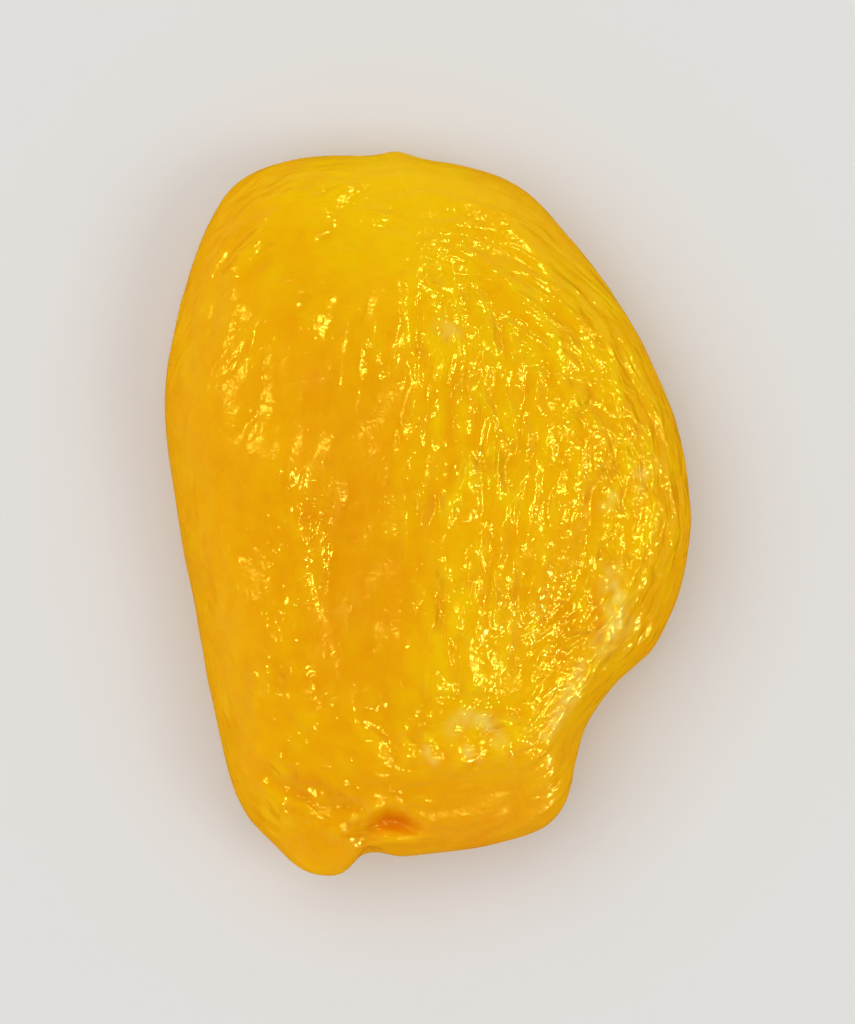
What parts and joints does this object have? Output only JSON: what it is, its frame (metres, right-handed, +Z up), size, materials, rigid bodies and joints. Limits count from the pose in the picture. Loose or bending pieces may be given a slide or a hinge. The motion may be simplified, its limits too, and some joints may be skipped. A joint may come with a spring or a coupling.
{
  "type": "dried apricot",
  "caption": "Whole dried apricot with its stone pressed out: a plump, flattened, finely wrinkled fruit with a puckered stem end and a slit, lying on a small flat spot.",
  "frame": {"origin": "on the surface that the fruit lies on, under the middle of its outline", "axes": "+Z up; +Y along the fruit from the stem end to the blossom end, its longest way; +X to the plumper side, seen from above"},
  "size_m": [0.0462, 0.0632, 0.0162],
  "materials": {
    "apricot_flesh": "moist, slightly translucent, finely wrinkled golden skin"
  },
  "bodies": {
    "root": {"dried_apricot": "apricot_flesh"}
  },
  "joints": []
}
